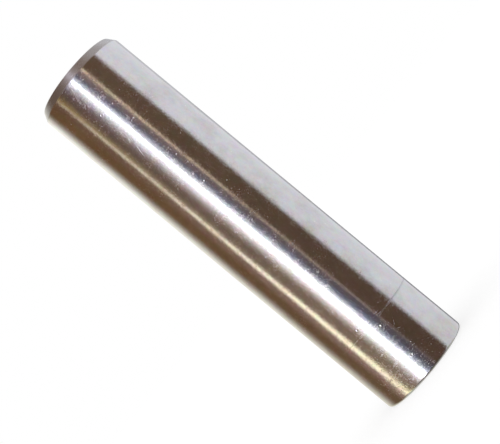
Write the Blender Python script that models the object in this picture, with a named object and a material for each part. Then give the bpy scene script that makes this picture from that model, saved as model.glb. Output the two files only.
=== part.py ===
"""Valve guide: a plain, shoulderless bush that carries the stem of an engine valve.

The guide is turned, bored and ground from one piece of steel. It stands on its plain end,
with the stem bore along +Z and the tapered lead, which starts it into the cylinder head, on top.
Lengths are in metres.
"""

from math import pi, radians, sin, tan

import bmesh
import bpy
from mathutils import Matrix, Vector

# The ground body, which is pressed into the cylinder head
BODY_DIAMETER = 0.0127
BODY_LENGTH = 0.0532

# The wall round the bore that the valve stem runs in, and the chamfer at each mouth of the bore
WALL = 0.00235
MOUTH_CHAMFER = 0.0005
MOUTH_ANGLE = radians(45)

# The lead taper at the upper end, its angle measured from the axis
LEAD_LENGTH = 0.0010
LEAD_ANGLE = radians(30)

# Radii left on the corners by grinding and deburring
FOOT_RADIUS = 0.0004
LEAD_TIP_RADIUS = 0.00012
LEAD_SHOULDER_RADIUS = 0.0002
SHARP = 0.0

# How finely the round forms are faceted
FACETS_AROUND = 96
ARC_STEPS = 5
SHADING_BREAK = radians(24)

# Bright ground steel
STEEL_COLOUR = (0.64, 0.63, 0.61, 1.0)
STEEL_ROUGHNESS = 0.2
STEEL_METALLIC = 1.0


def clear_scene():
    """Removes every object that the scene starts with."""
    for obj in list(bpy.data.objects):
        bpy.data.objects.remove(obj)


def bright_steel():
    """The ground and polished steel of the whole guide."""
    material = bpy.data.materials.new("bright_steel")
    material.use_nodes = True
    shader = material.node_tree.nodes["Principled BSDF"]
    shader.inputs["Base Color"].default_value = STEEL_COLOUR
    shader.inputs["Roughness"].default_value = STEEL_ROUGHNESS
    shader.inputs["Metallic"].default_value = STEEL_METALLIC
    return material


def guide_corners():
    """The corners of the wall's section, each as (radius, height, rounding), in order round it."""
    body = BODY_DIAMETER / 2
    bore = body - WALL
    lead_tip = body - LEAD_LENGTH * tan(LEAD_ANGLE)
    mouth = bore + MOUTH_CHAMFER * tan(MOUTH_ANGLE)
    return [
        (mouth, 0.0, SHARP),
        (body, 0.0, FOOT_RADIUS),
        (body, BODY_LENGTH - LEAD_LENGTH, LEAD_SHOULDER_RADIUS),
        (lead_tip, BODY_LENGTH, LEAD_TIP_RADIUS),
        (mouth, BODY_LENGTH, SHARP),
        (bore, BODY_LENGTH - MOUTH_CHAMFER, SHARP),
        (bore, MOUTH_CHAMFER, SHARP),
    ]


def corner_arc(before, corner, after, rounding):
    """Points of an arc of the given radius that touches both sides of a corner.

    Each side touches the arc at rounding / tan(half the corner's angle) from the corner, and the
    arc's centre lies on the bisector, at rounding / sin(half the angle).
    """
    to_before = (before - corner).normalized()
    to_after = (after - corner).normalized()
    half_angle = to_before.angle(to_after) / 2
    centre = corner + (to_before + to_after).normalized() * rounding / sin(half_angle)
    start = corner + to_before * rounding / tan(half_angle) - centre
    side = 1 if to_before.cross(to_after) < 0 else -1
    turn = side * (pi - 2 * half_angle) / ARC_STEPS
    return [centre + Matrix.Rotation(turn * step, 2) @ start for step in range(ARC_STEPS + 1)]


def rounded_outline(corners):
    """The closed outline through the corners, with an arc at each one that has a rounding."""
    places = [Vector((radius, height)) for radius, height, _ in corners]
    outline = []
    for index, (_, _, rounding) in enumerate(corners):
        before = places[index - 1]
        after = places[(index + 1) % len(places)]
        if rounding > 0:
            outline += corner_arc(before, places[index], after, rounding)
        else:
            outline.append(places[index])
    return outline


def revolved(name, outline):
    """A solid turned about the Z axis from a closed outline of (radius, height) points."""
    shape = bmesh.new()
    section = [shape.verts.new((point.x, 0.0, point.y)) for point in outline]
    edges = [shape.edges.new((section[i - 1], section[i])) for i in range(len(section))]
    bmesh.ops.spin(
        shape,
        geom=section + edges,
        cent=(0, 0, 0),
        axis=(0, 0, 1),
        angle=2 * pi,
        steps=FACETS_AROUND,
        use_merge=True,
    )
    bmesh.ops.recalc_face_normals(shape, faces=shape.faces)
    mesh = bpy.data.meshes.new(name)
    shape.to_mesh(mesh)
    shape.free()
    mesh.shade_smooth()
    mesh.set_sharp_from_angle(angle=SHADING_BREAK)
    solid = bpy.data.objects.new(name, mesh)
    bpy.context.scene.collection.objects.link(solid)
    return solid


def main():
    clear_scene()
    guide = revolved("valve_guide", rounded_outline(guide_corners()))
    guide.data.materials.append(bright_steel())


main()
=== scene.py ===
"""A bright ground valve guide, standing on its plain end in a pale studio.

The guide is one turned, bored and ground tube of steel. Its outside is a bare polished wall, so
what shows on it is what stands round it: white paper at one side, a window in front, and dark
timber, a tan slat and a gold board between them. They are one surround, which only reflections see.
"""

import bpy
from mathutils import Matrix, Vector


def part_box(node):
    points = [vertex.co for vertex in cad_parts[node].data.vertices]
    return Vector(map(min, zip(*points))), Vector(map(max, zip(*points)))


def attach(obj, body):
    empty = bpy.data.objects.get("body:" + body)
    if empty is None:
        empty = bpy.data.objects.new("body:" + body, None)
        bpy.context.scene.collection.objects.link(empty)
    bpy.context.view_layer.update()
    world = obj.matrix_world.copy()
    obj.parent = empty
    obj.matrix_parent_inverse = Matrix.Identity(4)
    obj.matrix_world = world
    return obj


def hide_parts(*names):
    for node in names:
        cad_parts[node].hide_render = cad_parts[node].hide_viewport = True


bl_info = {
    "name": "Valve guide",
    "version": (1, 0, 0),
    "blender": (4, 5, 0),
    "location": "View3D > Sidebar > Valve guide",
    "description": "Makes a bright ground valve guide and the pale studio that it stands in",
    "category": "Add Mesh",
}

from math import cos, pi, radians, sin, tan

import bpy
import numpy as np
from bpy.props import FloatProperty, FloatVectorProperty, IntProperty, PointerProperty
from mathutils import Matrix, Vector

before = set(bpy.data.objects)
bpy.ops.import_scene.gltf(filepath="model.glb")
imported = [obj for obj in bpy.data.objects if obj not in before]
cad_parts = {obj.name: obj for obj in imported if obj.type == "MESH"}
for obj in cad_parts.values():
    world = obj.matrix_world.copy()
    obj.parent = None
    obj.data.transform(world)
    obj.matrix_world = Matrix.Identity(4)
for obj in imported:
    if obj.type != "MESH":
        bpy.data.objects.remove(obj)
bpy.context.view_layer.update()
GUIDE_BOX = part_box("valve_guide")

MM = 0.001

# Elevations, in degrees, at which the glow of each zone of the surround is given
LEVELS = (-15, 18, 50)

# Elevations, in degrees, at which the ground and the skylight start to take over from the zones,
# and how many degrees they take for it
GROUND_EDGE = -41
SKYLIGHT_EDGE = 78
EDGE_SOFTNESS = 8

# How far the floor lies under the foot
FLOOR_GAP = 0.005 * MM

# The finishes of the guide, in the order of its material slots
GROUND, TURNED, REAMED = range(3)

# Pits in the ground outside, each as (bearing, height, radius, depth), heights and sizes in mm.
# Bearings round the axis are in degrees, 0 towards the camera and positive to its right.
PITS = [
    (2.0, 51.20, 0.07, 0.016),
    (-14.1, 47.02, 0.11, 0.030),
    (2.2, 46.90, 0.08, 0.018),
    (4.4, 44.05, 0.10, 0.026),
    (4.0, 37.70, 0.09, 0.020),
    (0.8, 33.37, 0.10, 0.028),
    (17.1, 31.45, 0.08, 0.022),
    (-18.7, 22.50, 0.07, 0.018),
    (9.6, 21.20, 0.06, 0.012),
    (-17.9, 12.80, 0.08, 0.020),
    (-16.7, 9.38, 0.12, 0.030),
    (1.5, 7.72, 0.13, 0.034),
    (9.2, 3.97, 0.07, 0.018),
    (-0.3, 2.97, 0.11, 0.030),
    (21.3, 1.99, 0.06, 0.012),
    (-30.9, 1.44, 0.10, 0.014),
    (-30.7, 1.07, 0.12, 0.016),
    (-29.8, 1.75, 0.10, 0.012),
    (-28.3, 2.40, 0.08, 0.010),
    (-29.2, 3.05, 0.09, 0.010),
    (-27.4, 3.60, 0.08, 0.010),
    (-27.2, 1.20, 0.08, 0.010),
]

# Scratches in the ground outside, each as (start, end, width, depth), where start and end are
# (bearing, height), and heights and sizes are in mm
SCRATCHES = [
    ((-12.2, 42.90), (-18.0, 40.50), 0.03, 0.007),
    ((-15.0, 43.00), (-16.6, 42.60), 0.03, 0.007),
    ((-12.6, 51.40), (-18.9, 50.03), 0.02, 0.002),
    ((-14.0, 50.70), (-19.0, 49.60), 0.015, 0.0014),
    ((-13.0, 49.60), (-20.0, 48.90), 0.015, 0.0014),
    ((7.5, 8.80), (12.0, 8.70), 0.05, 0.022),
    ((7.0, 9.12), (9.0, 9.05), 0.04, 0.014),
    ((15.5, 7.00), (12.5, 6.60), 0.02, 0.004),
    ((14.0, 5.90), (11.0, 6.10), 0.02, 0.004),
    ((10.5, 3.50), (7.0, 3.60), 0.03, 0.007),
    ((18.0, 3.10), (25.0, 2.60), 0.02, 0.003),
    ((20.0, 2.30), (27.5, 2.15), 0.02, 0.003),
]

# Amount of the specks where nothing has scuffed the ground outside
EVEN_SPECKS = 0.187

# Scuffed places on the ground outside, each as (bearing, height, radius, amount), height and
# radius in mm. The amount of the specks rises there by that much, or falls where it is negative.
SCUFFS = [
    (2.0, 48.0, 4.0, 0.024),
    (-13.0, 46.5, 4.0, 0.024),
    (0.0, 37.0, 3.0, 0.04),
    (-1.0, 29.0, 3.0, 0.05),
    (0.0, 22.5, 2.5, 0.05),
    (0.0, 17.0, 2.5, 0.04),
    (-3.5, 6.5, 3.0, 0.03),
    (-18.0, 2.0, 3.0, 0.16),
    (-31.0, 1.5, 2.5, 0.08),
    (24.0, 3.0, 3.0, -0.06),
]

# Shallow dents all over the ground outside, as (cells in a metre, radius, depth, share of cells
# with one), radius and depth in mm
DENTS = (1200.0, 0.10, 0.016, 0.06)

# The score line wavers in height by a sine of this size, so many times in a whole turn
WAVER = 0.02 * MM
WAVES = 5.0


class TubeSizes(bpy.types.PropertyGroup):
    """The sizes of the guide. The outside follows the frame."""

    outer_radius: FloatProperty(
        name="Outer radius",
        description="Radius of the ground outside",
        default=GUIDE_BOX[1].x,
        unit="LENGTH",
    )
    length: FloatProperty(
        name="Length",
        description="Length over the two end faces",
        default=GUIDE_BOX[1].z - GUIDE_BOX[0].z,
        unit="LENGTH",
    )
    wall: FloatProperty(
        name="Wall",
        description="Thickness of the wall round the stem bore",
        default=2.35 * MM,
        unit="LENGTH",
    )
    mouth_chamfer: FloatProperty(
        name="Mouth chamfer",
        description="Width of the 45 degree chamfer at each mouth of the bore",
        default=0.5 * MM,
        unit="LENGTH",
    )
    lead_length: FloatProperty(
        name="Lead length",
        description="Length of the taper at the upper end",
        default=1.0 * MM,
        unit="LENGTH",
    )
    lead_angle: FloatProperty(
        name="Lead angle",
        description="Angle between the taper and the axis",
        default=radians(30),
        subtype="ANGLE",
    )
    foot_radius: FloatProperty(
        name="Foot radius",
        description="Rounding of the lower outer edge",
        default=0.4 * MM,
        unit="LENGTH",
    )
    lead_tip_radius: FloatProperty(
        name="Lead tip radius",
        description="Rounding between the taper and the upper face",
        default=0.12 * MM,
        unit="LENGTH",
    )
    lead_shoulder_radius: FloatProperty(
        name="Lead shoulder radius",
        description="Rounding between the ground outside and the taper",
        default=0.2 * MM,
        unit="LENGTH",
    )
    mouth_radius: FloatProperty(
        name="Mouth radius",
        description="Rounding left by deburring on the edges of the bore's chamfers",
        default=0.05 * MM,
        unit="LENGTH",
    )
    spokes: IntProperty(
        name="Spokes",
        description="Number of steps round the axis",
        default=400,
        min=48,
    )


class ScoreSizes(bpy.types.PropertyGroup):
    """The score line that is cut part of the way round the ground outside."""

    height: FloatProperty(
        name="Height",
        description="Height of the score line above the foot",
        default=8.57 * MM,
        unit="LENGTH",
    )
    start: FloatProperty(
        name="Start",
        description="Bearing at which the score line starts",
        default=radians(6.5),
        subtype="ANGLE",
    )
    end: FloatProperty(
        name="End",
        description="Bearing at which the score line runs out",
        default=radians(90.0),
        subtype="ANGLE",
    )
    width: FloatProperty(
        name="Width",
        description="Distance from the middle of the score to the crest of either lip",
        default=0.09 * MM,
        unit="LENGTH",
    )
    depth: FloatProperty(
        name="Depth",
        description="Depth of the score",
        default=0.02 * MM,
        unit="LENGTH",
    )


class SteelLooks(bpy.types.PropertyGroup):
    """The finish of the steel."""

    colour: FloatVectorProperty(
        name="Steel",
        description="What the clean steel reflects, seen straight on",
        subtype="COLOR",
        default=(0.60, 0.602, 0.615),
    )
    dull_colour: FloatVectorProperty(
        name="Dull steel",
        description="What the handled and stained patches reflect",
        subtype="COLOR",
        default=(0.54, 0.53, 0.52),
    )
    # Painted shade in the groove of the score line: its floor is darkened towards this colour
    groove_shade_colour: FloatVectorProperty(
        name="Torn steel",
        description="What the floor of the score line is darkened towards",
        subtype="COLOR",
        default=(0.24, 0.225, 0.235),
    )
    ground_roughness: FloatProperty(
        name="Ground roughness",
        description="Roughness of the ground and polished outside",
        default=0.08,
        min=0,
        max=1,
    )
    turned_roughness: FloatProperty(
        name="Turned roughness",
        description="Roughness of the turned end faces, taper and chamfers",
        default=0.26,
        min=0,
        max=1,
    )
    reamed_roughness: FloatProperty(
        name="Reamed roughness",
        description="Roughness of the reamed bore",
        default=0.27,
        min=0,
        max=1,
    )


class StudioLooks(bpy.types.PropertyGroup):
    """The camera, the lights and the surround that the steel reflects."""

    camera_distance: FloatProperty(
        name="Camera distance",
        description="Distance of the camera from the axis of the guide",
        default=149.0 * MM,
        unit="LENGTH",
    )
    camera_height: FloatProperty(
        name="Camera height",
        description="Height of the camera above the foot of the guide",
        default=23.5 * MM,
        unit="LENGTH",
    )
    camera_yaw: FloatProperty(
        name="Camera yaw",
        description="Turn of the camera about the vertical",
        default=radians(0.05),
        subtype="ANGLE",
    )
    camera_pitch: FloatProperty(
        name="Camera pitch",
        description="Upward tilt of the camera",
        default=radians(1.17),
        subtype="ANGLE",
    )
    camera_roll: FloatProperty(
        name="Camera roll",
        description="Roll of the camera about its line of sight, which lays the guide aslant",
        default=radians(50.386),
        subtype="ANGLE",
    )
    focal_length: FloatProperty(
        name="Focal length",
        description="Focal length on a sensor 36 mm wide",
        default=91.3,
        unit="CAMERA",
    )
    floor_colour: FloatVectorProperty(
        name="Floor",
        description="Colour of the floor",
        subtype="COLOR",
        default=(0.95, 0.95, 0.95),
    )
    floor_bleach: FloatProperty(
        name="Floor bleach",
        description="How far the floor is bleached to plain white where the camera sees it",
        default=0.65,
        min=0,
        max=1,
    )
    ambient: FloatProperty(
        name="Ambient light",
        description="Strength of the white world as a light",
        default=1.0,
        min=0,
    )
    lamp_strength: FloatProperty(
        name="Light strength",
        description="Strength of the wide soft light overhead",
        default=0.5,
        min=0,
    )
    surround_radius: FloatProperty(
        name="Surround radius",
        description="Distance of the reflected surround from the guide",
        default=0.5,
        unit="LENGTH",
    )
    paper: FloatVectorProperty(
        name="Paper",
        description="Glow of the white paper at the right",
        subtype="COLOR",
        default=(0.99, 0.985, 1.025),
        soft_max=2,
    )
    timber: FloatVectorProperty(
        name="Timber",
        description="Glow of the dark timber between the paper and the window",
        subtype="COLOR",
        default=(0.171, 0.108, 0.073),
    )
    window: FloatVectorProperty(
        name="Window",
        description="Glow of the window in front",
        subtype="COLOR",
        default=(3.4, 3.5, 3.8),
        soft_max=5,
    )
    gold: FloatVectorProperty(
        name="Gold board",
        description="Glow of the gold board at the left, at its foot",
        subtype="COLOR",
        default=(1.82, 1.59, 0.85),
        soft_max=4,
    )


class GuideSettings(bpy.types.PropertyGroup):
    """Everything that a user would change."""

    tube: PointerProperty(type=TubeSizes)
    score: PointerProperty(type=ScoreSizes)
    steel: PointerProperty(type=SteelLooks)
    studio: PointerProperty(type=StudioLooks)


def smooth_step(value):
    """0 below 0, 1 above 1, and 3 v^2 - 2 v^3 between them."""
    value = np.clip(value, 0, 1)
    return value * value * (3 - 2 * value)


def arc_rows(before, corner, after, rounding, steps):
    """Points of the arc of a given radius that touches both sides of a corner.

    The arc's centre lies on the corner's bisector, at rounding / sin(half the corner's angle), and
    the arc starts on the first side at rounding / tan(half the angle) from the corner. Each point is
    the centre plus the starting spoke, turned by an equal share of pi less the corner's angle.
    """
    to_before = (before - corner) / np.linalg.norm(before - corner)
    to_after = (after - corner) / np.linalg.norm(after - corner)
    half = np.arccos(np.clip(to_before @ to_after, -1, 1)) / 2
    bisector = (to_before + to_after) / np.linalg.norm(to_before + to_after)
    centre = corner + bisector * rounding / np.sin(half)
    spoke = corner + to_before * rounding / np.tan(half) - centre
    cross = to_before[0] * to_after[1] - to_before[1] * to_after[0]
    turn = -np.sign(cross) * np.linspace(0, pi - 2 * half, steps + 1)
    turned = np.stack([
        spoke[0] * np.cos(turn) - spoke[1] * np.sin(turn),
        spoke[0] * np.sin(turn) + spoke[1] * np.cos(turn),
    ], axis=-1)
    return centre + turned


def straight_rows(start, end, spacing, margin=0.03 * MM):
    """Points inside a straight stretch, at equal steps between two that lie close to its ends.

    The two close ones keep the smooth shading of the rounded corners off the flat.
    """
    length = np.linalg.norm(end - start)
    close = min(margin, length / 4)
    inner = np.linspace(close, length - close, max(2, int(length / spacing)))
    return start + (end - start) / length * inner[:, None]


def section_rows(stretches, arc_steps=10):
    """The closed outline of the wall, as rows of (radius, height), and the finish after each row.

    Each stretch starts at a corner: (radius, height, rounding, spacing of the rows, finish).
    """
    corners = np.array([stretch[:2] for stretch in stretches])
    arcs = []
    for index, stretch in enumerate(stretches):
        before, after = corners[index - 1], corners[(index + 1) % len(corners)]
        if stretch[2] > 0:
            arcs.append(arc_rows(before, corners[index], after, stretch[2], arc_steps))
        else:
            arcs.append(corners[index:index + 1])
    rows, finishes = [], []
    for index, stretch in enumerate(stretches):
        next_arc = arcs[(index + 1) % len(arcs)]
        rows += [arcs[index], straight_rows(arcs[index][-1], next_arc[0], stretch[3])]
        finishes += [stretch[4]] * (len(rows[-1]) + len(rows[-2]))
    return np.concatenate(rows), np.array(finishes)


def guide_section(tube, score):
    """The stretches of the wall's outline, from the bore's lower mouth round the outside and back."""
    outer = tube.outer_radius
    bore = outer - tube.wall
    mouth = bore + tube.mouth_chamfer
    lead_tip = outer - tube.lead_length * tan(tube.lead_angle)
    lead_start = tube.length - tube.lead_length
    score_reach = 3 * score.width
    coarse, fine = 1.0 * MM, 0.013 * MM
    return [
        (mouth, 0, tube.mouth_radius, coarse, TURNED),
        (outer, 0, tube.foot_radius, coarse, GROUND),
        (outer, score.height - score_reach, 0, fine, GROUND),
        (outer, score.height + score_reach, 0, coarse, GROUND),
        (outer, lead_start, tube.lead_shoulder_radius, coarse / 5, TURNED),
        (lead_tip, tube.length, tube.lead_tip_radius, coarse / 4, TURNED),
        (mouth, tube.length, tube.mouth_radius, coarse / 5, TURNED),
        (bore, tube.length - tube.mouth_chamfer, tube.mouth_radius, coarse, REAMED),
        (bore, tube.mouth_chamfer, tube.mouth_radius, coarse / 5, TURNED),
    ]


def score_offset(bearing, height, score):
    """How far the score moves the surface outwards.

    With v the distance from the score's middle in units of its width, the cross-section is
    -(1 - 3 v^2) exp(-1.5 v^2), a valley between two lips. At bearing b it is as strong as
    0.62 + 0.38 cos 3(b - 50 degrees), and it fades in over 5 degrees and out over 12.
    """
    middle = score.height + WAVER * np.sin(bearing * WAVES)
    across = (height - middle) / score.width
    valley = -(1 - 3 * across**2) * np.exp(-1.5 * across**2)
    run_in = smooth_step((bearing - score.start) / radians(5))
    run_out = smooth_step((score.end - bearing) / radians(12))
    strength = 0.62 + 0.38 * np.cos((bearing - radians(50)) * 3)
    return score.depth * valley * run_in * run_out * strength


def tube_surface(tube, score):
    """The closed surface of the guide, as an array of places by row and spoke, with its finishes.

    At bearing b and row (r, h) the place is (r sin b, -r cos b, h), and on the outside r also
    takes the offset of the score line.
    """
    rows, finishes = section_rows(guide_section(tube, score))
    bearing = np.linspace(-pi, pi, tube.spokes, endpoint=False)[None, :]
    radius = rows[:, :1] + 0 * bearing
    height = rows[:, 1:] + 0 * bearing
    outside = np.isclose(radius, tube.outer_radius, atol=1e-7)
    radius = radius + np.where(outside, score_offset(bearing, height, score), 0)
    return np.stack([radius * np.sin(bearing), -radius * np.cos(bearing), height], -1), finishes


def grid_mesh(name, places, closed_rows=True):
    """A mesh with a vertex at each place and a quad between neighbours.

    Spokes run round and close. With closed_rows the last row joins the first.
    """
    rows, spokes, _ = places.shape
    last = rows if closed_rows else rows - 1
    row, spoke = np.meshgrid(np.arange(last), np.arange(spokes), indexing="ij")
    above, beside = (row + 1) % rows, (spoke + 1) % spokes
    corners = [(row, spoke), (row, beside), (above, beside), (above, spoke)]
    quads = np.stack([r * spokes + s for r, s in corners], axis=-1).reshape(-1, 4)
    mesh = bpy.data.meshes.new(name)
    mesh.from_pydata(places.reshape(-1, 3).tolist(), [], quads.tolist())
    mesh.shade_smooth()
    return mesh


def add_object(name, data):
    """A new object at the origin, in the scene."""
    made = bpy.data.objects.new(name, data)
    bpy.context.scene.collection.objects.link(made)
    return made


def add_node(tree, kind, inputs=None, **settings):
    """A node with its settings, and with each input either linked to a socket or set to a value."""
    node = tree.nodes.new(kind)
    for name, value in settings.items():
        setattr(node, name, value)
    for name, value in (inputs or {}).items():
        if isinstance(value, bpy.types.NodeSocket):
            tree.links.new(value, node.inputs[name])
        else:
            node.inputs[name].default_value = value
    return node


def maths(tree, operation, *values, **settings):
    """The output of a Math node."""
    inputs = dict(enumerate(values))
    return add_node(tree, "ShaderNodeMath", inputs, operation=operation, **settings).outputs[0]


def vector_maths(tree, operation, *values):
    """The Vector Math node itself, because some of its operations put out a plain value."""
    return add_node(tree, "ShaderNodeVectorMath", dict(enumerate(values)), operation=operation)


def new_group(name, inputs, outputs):
    """An empty shader node group, with the sockets of its input and output nodes."""
    group = bpy.data.node_groups.new(name, "ShaderNodeTree")
    for socket, kind in inputs.items():
        group.interface.new_socket(socket, in_out="INPUT", socket_type="NodeSocket" + kind)
    for socket, kind in outputs.items():
        group.interface.new_socket(socket, in_out="OUTPUT", socket_type="NodeSocket" + kind)
    entry = group.nodes.new("NodeGroupInput")
    end = group.nodes.new("NodeGroupOutput")
    return group, entry.outputs, end.inputs


def place_group(tree, group, **values):
    """The outputs of a group's node, with its inputs linked or set."""
    return add_node(tree, "ShaderNodeGroup", values, node_tree=group).outputs


def mixed_colour(tree, factor, first, second, **settings):
    """The first colour, changed by the second as far as factor says, from a Mix node."""
    inputs = {"Factor": factor, "A": first, "B": second}
    return add_node(tree, "ShaderNodeMix", inputs, data_type="RGBA", **settings).outputs["Result"]


def seen_mask(tree):
    """1 where a camera, glossy or transmission ray looks, and 0 for the rays that carry light."""
    paths = add_node(tree, "ShaderNodeLightPath").outputs
    seen = maths(tree, "MAXIMUM", paths["Is Camera Ray"], paths["Is Glossy Ray"])
    return maths(tree, "MAXIMUM", seen, paths["Is Transmission Ray"])


def lay_group():
    """Tool marks that run round the axis.

    Noise is read at (Across x, Across y, Along z): a large Along and a small Across draw it out
    into fine rings, which end and start again. Height is -Depth to Depth.
    """
    group, given, result = new_group(
        "tool_lay",
        {"Across": "Float", "Along": "Float", "Depth": "Float"},
        {"Height": "Float"},
    )
    place = add_node(group, "ShaderNodeTexCoord").outputs["Object"]
    scale = add_node(group, "ShaderNodeCombineXYZ", {
        "X": given["Across"], "Y": given["Across"], "Z": given["Along"],
    }).outputs[0]
    stretched = vector_maths(group, "MULTIPLY", place, scale).outputs[0]
    noise = add_node(group, "ShaderNodeTexNoise", {
        "Vector": stretched, "Scale": 1.0, "Detail": 2.0, "Roughness": 0.6,
    }).outputs["Fac"]
    centred = maths(group, "MULTIPLY_ADD", noise, 2.0, -1.0)
    group.links.new(maths(group, "MULTIPLY", centred, given["Depth"]), result["Height"])
    return group


def marked(group, squared, depth, given, result):
    """Ends a group that draws one mark, from v squared, where v is the distance in units of its size.

    Height loses depth (1 - v^2) exp(-v^2), a hollow that turns into a low lip at v = 1. Mask becomes
    exp(-2 v^2) where that is more than it was.
    """
    hollow = maths(group, "SUBTRACT", 1.0, squared)
    fading = maths(group, "EXPONENT", maths(group, "MULTIPLY", squared, -1.0))
    mark = maths(group, "MULTIPLY", maths(group, "MULTIPLY", hollow, fading), depth)
    group.links.new(maths(group, "SUBTRACT", given["Height"], mark), result["Height"])
    mask = maths(group, "MAXIMUM", given["Mask"], maths(group, "MULTIPLY", fading, fading))
    group.links.new(mask, result["Mask"])


def pit_group():
    """One round pit, added to a height and to a mask of marks, at Centre and with Radius."""
    group, given, result = new_group(
        "pit",
        {
            "Height": "Float", "Mask": "Float", "Centre": "Vector",
            "Radius": "Float", "Depth": "Float",
        },
        {"Height": "Float", "Mask": "Float"},
    )
    place = add_node(group, "ShaderNodeTexCoord").outputs["Object"]
    distance = vector_maths(group, "DISTANCE", place, given["Centre"]).outputs["Value"]
    share = maths(group, "DIVIDE", distance, given["Radius"])
    marked(group, maths(group, "MULTIPLY", share, share), given["Depth"], given, result)
    return group


def scratch_group():
    """One straight scratch, added to a height and to a mask of marks, from Start to End.

    The nearest point of the line lies at the share t, which is
    (P - Start) . (End - Start) / |End - Start|^2, kept between 0 and 1.
    """
    group, given, result = new_group(
        "scratch",
        {
            "Height": "Float", "Mask": "Float", "Start": "Vector", "End": "Vector",
            "Width": "Float", "Depth": "Float",
        },
        {"Height": "Float", "Mask": "Float"},
    )
    place = add_node(group, "ShaderNodeTexCoord").outputs["Object"]
    run = vector_maths(group, "SUBTRACT", given["End"], given["Start"]).outputs[0]
    reach = vector_maths(group, "SUBTRACT", place, given["Start"]).outputs[0]
    along = vector_maths(group, "DOT_PRODUCT", reach, run).outputs["Value"]
    whole = vector_maths(group, "DOT_PRODUCT", run, run).outputs["Value"]
    share = maths(group, "DIVIDE", along, whole, use_clamp=True)
    nearest = add_node(group, "ShaderNodeVectorMath", {0: run, "Scale": share}, operation="SCALE")
    distance = vector_maths(group, "DISTANCE", reach, nearest.outputs[0]).outputs["Value"]
    across = maths(group, "DIVIDE", distance, given["Width"])
    marked(group, maths(group, "MULTIPLY", across, across), given["Depth"], given, result)
    return group


def score_group():
    """The floor of the score line as a mask, where the tool has torn the steel and where painted shade
    darkens the groove.

    The middle of the line wavers as in score_offset, and the mask is exp(-1.5 v^2), with v the
    distance from the middle in units of Width. It holds between the bearings Start and End, and
    goes in a straight line from 0 to 1 over its first 4 degrees and back over its last 29. The
    two slopes are for a radian.
    """
    start_slope, end_slope = 15.0, 2.0
    group, given, result = new_group(
        "score_line",
        {"Height": "Float", "Width": "Float", "Start": "Float", "End": "Float"},
        {"Mask": "Float"},
    )
    place = add_node(group, "ShaderNodeTexCoord").outputs["Object"]
    parts = add_node(group, "ShaderNodeSeparateXYZ", {"Vector": place}).outputs
    bearing = maths(group, "ARCTAN2", parts["X"], maths(group, "MULTIPLY", parts["Y"], -1.0))
    wave = maths(group, "SINE", maths(group, "MULTIPLY", bearing, WAVES))
    middle = maths(group, "MULTIPLY_ADD", wave, WAVER, given["Height"])
    across = maths(group, "SUBTRACT", parts["Z"], middle)
    share = maths(group, "DIVIDE", across, given["Width"])
    power = maths(group, "MULTIPLY", maths(group, "MULTIPLY", share, share), -1.5)
    run_in = maths(group, "SUBTRACT", bearing, given["Start"])
    run_in = maths(group, "MULTIPLY", run_in, start_slope, use_clamp=True)
    run_out = maths(group, "SUBTRACT", given["End"], bearing)
    run_out = maths(group, "MULTIPLY", run_out, end_slope, use_clamp=True)
    ends = maths(group, "MULTIPLY", run_in, run_out)
    group.links.new(maths(group, "MULTIPLY", maths(group, "EXPONENT", power), ends), result["Mask"])
    return group


def handling_group():
    """Smudges and stains from handling, as a soft mask from 0, clean, to 1, dull."""
    group, given, result = new_group(
        "handling",
        {"Scale": "Float", "Amount": "Float"},
        {"Mask": "Float"},
    )
    place = add_node(group, "ShaderNodeTexCoord").outputs["Object"]
    cloud = add_node(group, "ShaderNodeTexNoise", {
        "Vector": place, "Scale": given["Scale"], "Detail": 4.0, "Roughness": 0.62,
    }).outputs["Fac"]
    patch = add_node(group, "ShaderNodeMapRange", {
        "Value": cloud, "From Min": 0.42, "From Max": 0.72,
    }, interpolation_type="SMOOTHSTEP").outputs["Result"]
    group.links.new(maths(group, "MULTIPLY", patch, given["Amount"]), result["Mask"])
    return group


def scuff_group():
    """Adds Amount exp(-(d / Radius)^2) to a mask, where d is the distance from Centre."""
    group, given, result = new_group(
        "scuff",
        {"Mask": "Float", "Centre": "Vector", "Radius": "Float", "Amount": "Float"},
        {"Mask": "Float"},
    )
    place = add_node(group, "ShaderNodeTexCoord").outputs["Object"]
    distance = vector_maths(group, "DISTANCE", place, given["Centre"]).outputs["Value"]
    share = maths(group, "DIVIDE", distance, given["Radius"])
    power = maths(group, "MULTIPLY", maths(group, "MULTIPLY", share, share), -1.0)
    added = maths(group, "MULTIPLY", maths(group, "EXPONENT", power), given["Amount"])
    group.links.new(maths(group, "ADD", given["Mask"], added), result["Mask"])
    return group


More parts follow.
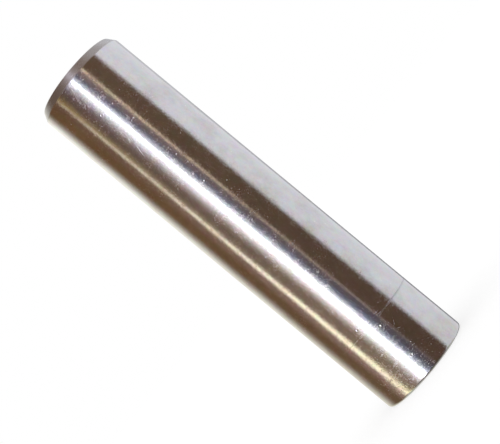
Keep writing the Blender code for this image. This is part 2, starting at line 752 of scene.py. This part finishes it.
def dents_group():
    """Shallow dents at the middles of some cells of a Voronoi pattern, added to a height.

    With v the distance from the cell's middle in units of the dent's own radius, a dent is
    -Depth (1 - v^2)^2 inside v = 1. The cell's random colour (r, g, b) gives a dent to the Share of
    cells that have the smallest r, at Radius times 0.4 + 0.6 g and at Depth times that and b^2.
    """
    group, given, result = new_group(
        "dents",
        {
            "Height": "Float", "Scale": "Float", "Radius": "Float", "Depth": "Float",
            "Share": "Float",
        },
        {"Height": "Float"},
    )
    place = add_node(group, "ShaderNodeTexCoord").outputs["Object"]
    cells = add_node(group, "ShaderNodeTexVoronoi", {"Vector": place, "Scale": given["Scale"]})
    chance = add_node(group, "ShaderNodeSeparateColor", {"Color": cells.outputs["Color"]}).outputs
    picked = maths(group, "LESS_THAN", chance["Red"], given["Share"])
    size = maths(group, "MULTIPLY_ADD", chance["Green"], 0.6, 0.4)
    steep = maths(group, "MULTIPLY", chance["Blue"], chance["Blue"])
    reach = maths(group, "MULTIPLY", maths(group, "MULTIPLY", given["Radius"], given["Scale"]), size)
    away = maths(group, "DIVIDE", cells.outputs["Distance"], reach)
    inside = maths(group, "SUBTRACT", 1.0, maths(group, "MULTIPLY", away, away), use_clamp=True)
    bowl = maths(group, "MULTIPLY", inside, inside)
    strength = maths(group, "MULTIPLY", maths(group, "MULTIPLY", given["Depth"], size), picked)
    dent = maths(group, "MULTIPLY", bowl, maths(group, "MULTIPLY", strength, steep))
    group.links.new(maths(group, "SUBTRACT", given["Height"], dent), result["Height"])
    return group


def specks_group():
    """Fine specks that grit has left, as a mask from 0 to Amount.

    Each cell of a fine Voronoi pattern has a random r, and the mask is Amount r^2, so few are
    strong. A broader noise weakens them in patches.
    """
    group, given, result = new_group("specks", {"Scale": "Float", "Amount": "Float"}, {"Mask": "Float"})
    place = add_node(group, "ShaderNodeTexCoord").outputs["Object"]
    cells = add_node(group, "ShaderNodeTexVoronoi", {"Vector": place, "Scale": given["Scale"]})
    chance = add_node(group, "ShaderNodeSeparateColor", {"Color": cells.outputs["Color"]}).outputs
    strong = maths(group, "MULTIPLY", chance["Red"], chance["Red"])
    cloud = add_node(group, "ShaderNodeTexNoise", {
        "Vector": place, "Scale": 900.0, "Detail": 2.0, "Roughness": 0.6,
    }).outputs["Fac"]
    patch = add_node(group, "ShaderNodeMapRange", {
        "Value": cloud, "From Min": 0.40, "From Max": 0.66, "To Min": 0.4, "To Max": 1.0,
    }, interpolation_type="SMOOTHSTEP").outputs["Result"]
    mask = maths(group, "MULTIPLY", maths(group, "MULTIPLY", strong, patch), given["Amount"])
    group.links.new(mask, result["Mask"])
    return group


def on_body(bearing, height, tube):
    """The place on the ground outside at a bearing in degrees and a height in mm."""
    angle = radians(bearing)
    return (tube.outer_radius * sin(angle), -tube.outer_radius * cos(angle), height * MM)


def steel_material(name, roughness):
    """A steel whose Base Color, Roughness and Normal are still to be linked."""
    material = bpy.data.materials.new(name)
    material.use_nodes = True
    shader = material.node_tree.nodes["Principled BSDF"]
    shader.inputs["Metallic"].default_value = 1.0
    shader.inputs["Roughness"].default_value = roughness
    return material, material.node_tree, shader.inputs


def dull_where(tree, shader, mask, steel, roughness, dulling):
    """Base Color goes from clean to dull steel, and Roughness rises by dulling, as mask goes to 1."""
    colour = mixed_colour(tree, mask, (*steel.colour, 1), (*steel.dull_colour, 1))
    tree.links.new(colour, shader["Base Color"])
    tree.links.new(maths(tree, "MULTIPLY_ADD", mask, dulling, roughness), shader["Roughness"])


def bump(tree, shader, height):
    """Feeds the Normal from a height in metres."""
    node = add_node(tree, "ShaderNodeBump", {"Height": height, "Distance": 1.0, "Strength": 1.0})
    tree.links.new(node.outputs["Normal"], shader["Normal"])


def score_masks(tree, group, score):
    """The torn floor of the score line, which also carries the painted shade of its groove, and a thin
    faint line that leads up to its start.
    """
    torn_width, faint_width = 1.5, 0.6
    lead, faintness = radians(62), 0.4
    torn_and_shaded = place_group(
        tree, group, Height=score.height, Width=score.width * torn_width,
        Start=score.start, End=score.end,
    )["Mask"]
    faint = place_group(
        tree, group, Height=score.height, Width=score.width * faint_width,
        Start=score.start - lead, End=score.start,
    )["Mask"]
    return torn_and_shaded, maths(tree, "MULTIPLY", faint, faintness)


def add_marks(tree, groups, tube, height, mask):
    """A height and a mask of marks, with the pits and the scratches added to both."""
    marks = {"Height": height, "Mask": mask}
    for bearing, level, radius, depth in PITS:
        marks = place_group(
            tree, groups["pit"], Height=marks["Height"], Mask=marks["Mask"],
            Centre=on_body(bearing, level, tube), Radius=radius * MM, Depth=depth * MM,
        )
    for start, end, width, depth in SCRATCHES:
        marks = place_group(
            tree, groups["scratch"], Height=marks["Height"], Mask=marks["Mask"],
            Start=on_body(*start, tube), End=on_body(*end, tube), Width=width * MM, Depth=depth * MM,
        )
    return marks["Height"], marks["Mask"]


def speck_masks(tree, groups, tube):
    """The specks, and how far their amount is above or below the even one."""
    amount = EVEN_SPECKS
    for bearing, level, radius, more in SCUFFS:
        amount = place_group(
            tree, groups["scuff"], Mask=amount, Centre=on_body(bearing, level, tube),
            Radius=radius * MM, Amount=more,
        )["Mask"]
    specks = place_group(tree, groups["specks"], Scale=6500.0, Amount=amount)["Mask"]
    return specks, maths(tree, "SUBTRACT", amount, EVEN_SPECKS)


def ground_steel(settings, groups):
    """The outside: centreless-ground, polished, and marked by handling.

    Its colour is the clean steel, dull where it is handled or marked, darker in the score line as
    painted shade in its groove, and mottled all over. Each kind of mark adds a share of its mask to the
    roughness.
    """
    steel, tube = settings.steel, settings.tube
    material, tree, shader = steel_material("ground_steel", steel.ground_roughness)
    fine = place_group(tree, groups["lay"], Across=2200.0, Along=5600.0, Depth=0.005 * MM)
    broad = place_group(tree, groups["lay"], Across=500.0, Along=1500.0, Depth=0.002 * MM)
    height = maths(tree, "ADD", fine["Height"], broad["Height"])
    cells, radius, depth, share = DENTS
    height = place_group(
        tree, groups["dents"], Height=height, Scale=cells, Radius=radius * MM,
        Depth=depth * MM, Share=share,
    )["Height"]
    torn_and_shaded, faint = score_masks(tree, groups["score"], settings.score)
    height, marks = add_marks(tree, groups, tube, height, faint)
    bump(tree, shader, height)
    smudge = place_group(tree, groups["handling"], Scale=260.0, Amount=1.0)["Mask"]
    handled = maths(tree, "MAXIMUM", smudge, marks)
    colour = mixed_colour(tree, handled, (*steel.colour, 1), (*steel.dull_colour, 1))
    darkening, mottling = 0.32, 0.14
    # Painted shade: the floor of the score line is darkened towards the groove's shade colour
    darkened = maths(tree, "MULTIPLY", torn_and_shaded, darkening)
    colour = mixed_colour(tree, darkened, colour, (*steel.groove_shade_colour, 1))
    place = add_node(tree, "ShaderNodeTexCoord").outputs["Object"]
    mottle = add_node(tree, "ShaderNodeTexNoise", {
        "Vector": place, "Scale": 900.0, "Detail": 4.0, "Roughness": 0.8,
    }).outputs["Color"]
    colour = mixed_colour(tree, mottling, colour, mottle, blend_type="LINEAR_LIGHT")
    tree.links.new(colour, shader["Base Color"])
    specks, scuffs = speck_masks(tree, groups, tube)
    roughness = maths(tree, "ADD", specks, steel.ground_roughness)
    for mask, dulling in ((smudge, 0.04), (scuffs, 0.25), (marks, 0.35), (torn_and_shaded, 0.22)):
        roughness = maths(tree, "MULTIPLY_ADD", mask, dulling, roughness)
    tree.links.new(roughness, shader["Roughness"])
    return material


def turned_steel(settings, groups):
    """The end faces, the taper and the chamfers: turned, with fine concentric tool marks.

    The tool's feed leaves rings, a sine of the distance from the axis.
    """
    feed_pitch, feed_depth = 0.12 * MM, 0.0012 * MM
    steel = settings.steel
    material, tree, shader = steel_material("turned_steel", steel.turned_roughness)
    smudge = place_group(tree, groups["handling"], Scale=400.0, Amount=0.8)["Mask"]
    dull_where(tree, shader, smudge, steel, steel.turned_roughness, 0.08)
    place = add_node(tree, "ShaderNodeTexCoord").outputs["Object"]
    flat = vector_maths(tree, "MULTIPLY", place, (1.0, 1.0, 0.0)).outputs[0]
    radius = vector_maths(tree, "LENGTH", flat).outputs["Value"]
    rings = maths(tree, "SINE", maths(tree, "MULTIPLY", radius, 2 * pi / feed_pitch))
    feed = maths(tree, "MULTIPLY", rings, feed_depth)
    lay = place_group(tree, groups["lay"], Across=1200.0, Along=5000.0, Depth=0.0012 * MM)
    bump(tree, shader, maths(tree, "ADD", feed, lay["Height"]))
    return material


def reamed_steel(settings, groups):
    """The stem bore: reamed, with fine rings and a dull cast."""
    steel = settings.steel
    material, tree, shader = steel_material("reamed_steel", steel.reamed_roughness)
    smudge = place_group(tree, groups["handling"], Scale=300.0, Amount=1.0)["Mask"]
    dull_where(tree, shader, smudge, steel, steel.reamed_roughness, 0.06)
    lay = place_group(tree, groups["lay"], Across=700.0, Along=4500.0, Depth=0.001 * MM)
    bump(tree, shader, lay["Height"])
    return material


class VALVEGUIDE_OT_make_tube(bpy.types.Operator):
    """Makes the guide: one closed tube of steel with its lead, its rounded foot and its bore"""

    bl_idname = "valve_guide.make_tube"
    bl_label = "Make the guide"

    def execute(self, context):
        settings = context.scene.valve_guide
        places, finishes = tube_surface(settings.tube, settings.score)
        mesh = grid_mesh("guide_tube", places)
        groups = {
            "lay": lay_group(),
            "pit": pit_group(),
            "scratch": scratch_group(),
            "handling": handling_group(),
            "dents": dents_group(),
            "scuff": scuff_group(),
            "specks": specks_group(),
            "score": score_group(),
        }
        for finish in (ground_steel, turned_steel, reamed_steel):
            mesh.materials.append(finish(settings, groups))
        mesh.polygons.foreach_set("material_index", np.repeat(finishes, places.shape[1]))
        guide = add_object("guide_tube", mesh)
        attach(guide, "root")
        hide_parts("valve_guide")
        return {"FINISHED"}


def surround_zones(studio):
    """What stands round the guide, from directly behind it at the right, round the front, to the left.

    Each zone is (bearing at which it starts low down, the same higher up, width of its soft start,
    glow low down, glow higher up, glow at the top). Bearings are in degrees from the camera's side,
    negative to its right. Low down, higher up and the top are the elevations in LEVELS.
    """
    paper, timber = np.array(studio.paper), np.array(studio.timber)
    window, gold = np.array(studio.window), np.array(studio.gold)
    felt = np.array((0.23, 0.23, 0.24))
    loft = np.array((0.29, 0.215, 0.18))
    dark_loft = np.array((0.19, 0.13, 0.10))
    slat = np.array((1.33, 1.11, 0.75))
    dusk = np.array((0.288, 0.203, 0.192))
    lilac = np.array((0.27, 0.29, 0.385))
    blush = np.array((1.97, 1.59, 1.29))
    taupe = np.array((0.377, 0.267, 0.188))
    cocoa = np.array((0.443, 0.286, 0.235))
    rust = np.array((0.20, 0.12, 0.065))
    cream = np.array((0.81, 0.755, 0.625))
    return [
        (-180, -180, 1, felt, felt * 3.3, felt),
        (-153, -148.3, 4.7, paper * 0.95, paper * 1.015, paper * (0.52, 0.48, 0.45)),
        (-78.7, -79.1, 11.3, paper * (0.87, 0.86, 0.835), paper * (1.04, 1.0, 1.0), loft * 1.15),
        (-62.7, -63.5, 12.5, timber * (0.67, 0.65, 0.65), timber * (1.03, 1.02, 0.95), loft),
        (-15.3, -21.6, 6.5, slat * (1.85, 1.6, 1.75), slat * 1.17, loft * 1.1),
        (-18.6, -17.4, 8.5, dusk * (0.34, 0.42, 0.56), dusk * 1.03, loft * 1.2),
        (-3.9, -4.2, 6.7, lilac * 0.85, lilac * (0.46, 0.37, 0.41), loft * (1.5, 1.6, 2.0)),
        (11.9, 9.2, 24, window, window, window * 0.5),
        (13.5, 11, 4, window * 3.2, window * 3.2, window * 0.5),
        (21, 14, 4, window, window, window * 0.5),
        (29.7, 9.7, 55.4, blush, blush * (0.02, 0, 0.065), loft * (2.0, 2.2, 2.8)),
        (27.5, 36.0, 34, taupe * 0.94, taupe * (0.36, 0.31, 0.345), loft),
        (64.9, 69.8, 10.5, gold, gold * (1.477, 1.638, 2.997), dark_loft),
        (77.7, 65.3, 35, gold * (1.033, 1.05, 1.748), gold * (0.403, 0.278, 0), dark_loft),
        (79.2, 67.6, 9.5, cocoa, cocoa * (0.39, 0.315, 0.19), dark_loft),
        (92.7, 85.6, 20.9, rust, rust * (1.06, 0.95, 0.8), dark_loft),
        (136.2, 128.6, 43.3, cream, cream * (1.58, 1.67, 1.85), dark_loft * 0.3),
    ]


def surround_glow(bearing, elevation, studio):
    """The glow of the surround at a bearing and an elevation, both in degrees.

    Up the height, each zone's start and glow go in straight steps between their values at LEVELS.
    Round the bearings, each zone takes over from the one before it by a smooth step. Below lies a
    ground that is dark in front and pale elsewhere, and straight up a pale skylight.
    """
    front_ground, other_ground = np.array((0.13, 0.12, 0.10)), np.array((0.72, 0.72, 0.64))
    dark_middle, dark_reach, dark_softness = -10, 70, 30
    skylight = np.array((0.60, 0.57, 0.54))
    glow = 0
    for low_start, high_start, softness, *glows in surround_zones(studio):
        start = np.interp(elevation, LEVELS[:2], (low_start, high_start))
        parts = [np.interp(elevation, LEVELS, [level[i] for level in glows]) for i in range(3)]
        share = smooth_step((bearing - start) / softness + 0.5)[..., None]
        glow = glow * (1 - share) + np.stack(parts, axis=-1) * share
    pale = smooth_step((abs(bearing - dark_middle) - dark_reach) / dark_softness)[..., None]
    ground = front_ground * (1 - pale) + other_ground * pale
    below = smooth_step((GROUND_EDGE - elevation) / EDGE_SOFTNESS)[..., None]
    above = smooth_step((elevation - SKYLIGHT_EDGE) / EDGE_SOFTNESS)[..., None]
    return (glow * (1 - below) + ground * below) * (1 - above) + skylight * above


def add_surround(studio, centre_height):
    """A ball round the guide that only glossy rays see, so that the steel has a room to reflect.

    At bearing b and elevation e the place is R (-cos e sin b, -cos e cos b, sin e), about the
    middle of the guide, and its glow is kept as an attribute.
    """
    bearing = np.arange(-180, 180, 0.5)[None, :]
    elevation = np.linspace(-89.5, 89.5, 120)[:, None]
    b, e = np.radians(bearing), np.radians(elevation)
    places = studio.surround_radius * np.stack([
        -np.cos(e) * np.sin(b),
        -np.cos(e) * np.cos(b),
        np.sin(e) + 0 * b,
    ], axis=-1)
    places[..., 2] += centre_height
    mesh = grid_mesh("surround", places, closed_rows=False)
    glow = surround_glow(bearing + 0 * elevation, elevation + 0 * bearing, studio)
    colours = np.concatenate([glow, np.ones((*glow.shape[:2], 1))], axis=-1)
    attribute = mesh.attributes.new("glow", "FLOAT_COLOR", "POINT")
    attribute.data.foreach_set("color", colours.astype(np.float32).ravel())
    material = bpy.data.materials.new("surround_glow")
    material.use_nodes = True
    tree = material.node_tree
    tree.nodes.clear()
    read = add_node(tree, "ShaderNodeAttribute", attribute_name="glow")
    light = add_node(tree, "ShaderNodeEmission", {"Color": read.outputs["Color"], "Strength": 1.0})
    output = add_node(tree, "ShaderNodeOutputMaterial")
    tree.links.new(light.outputs[0], output.inputs["Surface"])
    material.cycles.emission_sampling = "NONE"
    mesh.materials.append(material)
    surround = add_object("surround", mesh)
    surround.visible_camera = False
    surround.visible_diffuse = False
    surround.visible_transmission = False
    surround.visible_shadow = False


def add_floor(studio):
    """A wide pale floor under the foot. The steel reflects the surround and not the floor.

    To the camera the floor is bleached towards plain white, so that the guide's shadow stays faint.
    """
    ring_radii = (3.0, 0.5, 0.1, 0.02, 0.00001)
    bearing = np.linspace(0, 2 * pi, 96, endpoint=False)[None, :]
    radius = np.array(ring_radii)[:, None]
    places = np.stack([
        radius * np.cos(bearing),
        radius * np.sin(bearing),
        0 * radius * bearing - FLOOR_GAP,
    ], axis=-1)
    mesh = grid_mesh("floor", places, closed_rows=False)
    material = bpy.data.materials.new("pale_floor")
    material.use_nodes = True
    tree = material.node_tree
    board = tree.nodes["Principled BSDF"]
    board.inputs["Base Color"].default_value = (*studio.floor_colour, 1)
    board.inputs["Roughness"].default_value = 0.9
    board.inputs["Specular IOR Level"].default_value = 0.0
    white = add_node(tree, "ShaderNodeEmission", {"Strength": 1.0}).outputs[0]
    bleach = maths(tree, "MULTIPLY", seen_mask(tree), studio.floor_bleach)
    bleached = add_node(tree, "ShaderNodeMixShader", {0: bleach, 1: board.outputs[0], 2: white})
    tree.links.new(bleached.outputs[0], tree.nodes["Material Output"].inputs["Surface"])
    mesh.materials.append(material)
    floor = add_object("floor", mesh)
    floor.visible_glossy = False


def add_world(studio):
    """A white world: strength 1 behind everything, and the ambient strength as a light."""
    world = bpy.data.worlds.new("pale_studio")
    world.use_nodes = True
    tree = world.node_tree
    strength = add_node(tree, "ShaderNodeMix", {
        "Factor": seen_mask(tree), "A": studio.ambient, "B": 1.0,
    }, data_type="FLOAT")
    background = tree.nodes["Background"]
    background.inputs["Color"].default_value = (1, 1, 1, 1)
    tree.links.new(strength.outputs["Result"], background.inputs["Strength"])
    bpy.context.scene.world = world


def add_lamp(studio):
    """One wide soft sun overhead, a little to the front and the left, for the shadow at the foot."""
    shining = Vector((0.12, 0.15, -0.6))
    light = bpy.data.lights.new("overhead_light", "SUN")
    light.angle = radians(40)
    light.energy = studio.lamp_strength
    lamp = add_object("overhead_light", light)
    lamp.rotation_euler = shining.to_track_quat("-Z", "Y").to_euler()
    lamp.visible_glossy = False


def add_camera(studio):
    """The camera: on the guide's near side, turned, tilted and rolled about its line of sight."""
    data = bpy.data.cameras.new("camera")
    data.sensor_width = 36
    data.lens = studio.focal_length
    data.clip_start = 0.01
    data.clip_end = 20
    camera = add_object("camera", data)
    place = Matrix.Translation(Vector((0, -studio.camera_distance, studio.camera_height)))
    yaw = Matrix.Rotation(studio.camera_yaw, 4, "Z")
    pitch = Matrix.Rotation(pi / 2 + studio.camera_pitch, 4, "X")
    roll = Matrix.Rotation(-studio.camera_roll, 4, "Z")
    camera.matrix_world = place @ yaw @ pitch @ roll
    bpy.context.scene.camera = camera


class VALVEGUIDE_OT_make_stage(bpy.types.Operator):
    """Makes the pale floor, the reflected surround, the white world, the soft lamp and the camera"""

    bl_idname = "valve_guide.make_stage"
    bl_label = "Make the studio"

    def execute(self, context):
        settings = context.scene.valve_guide
        add_floor(settings.studio)
        add_surround(settings.studio, settings.tube.length / 2)
        add_world(settings.studio)
        add_lamp(settings.studio)
        add_camera(settings.studio)
        context.scene.view_settings.view_transform = "Standard"
        return {"FINISHED"}


class VALVEGUIDE_PT_panel(bpy.types.Panel):
    """The guide's sizes and finishes, and the buttons that make it"""

    bl_idname = "VALVEGUIDE_PT_panel"
    bl_label = "Valve guide"
    bl_space_type = "VIEW_3D"
    bl_region_type = "UI"
    bl_category = "Valve guide"

    def draw(self, context):
        settings = context.scene.valve_guide
        for title in ("tube", "score", "steel", "studio"):
            box = self.layout.box()
            box.label(text=title.capitalize())
            group = getattr(settings, title)
            for name in group.__annotations__:
                box.prop(group, name)
        self.layout.operator(VALVEGUIDE_OT_make_tube.bl_idname)
        self.layout.operator(VALVEGUIDE_OT_make_stage.bl_idname)


CLASSES = (
    TubeSizes,
    ScoreSizes,
    SteelLooks,
    StudioLooks,
    GuideSettings,
    VALVEGUIDE_OT_make_tube,
    VALVEGUIDE_OT_make_stage,
    VALVEGUIDE_PT_panel,
)


def register():
    for cls in CLASSES:
        bpy.utils.register_class(cls)
    bpy.types.Scene.valve_guide = PointerProperty(type=GuideSettings)


def unregister():
    del bpy.types.Scene.valve_guide
    for cls in reversed(CLASSES):
        bpy.utils.unregister_class(cls)


def main():
    register()
    bpy.ops.valve_guide.make_tube()
    bpy.ops.valve_guide.make_stage()


if __name__ == "__main__":
    main()
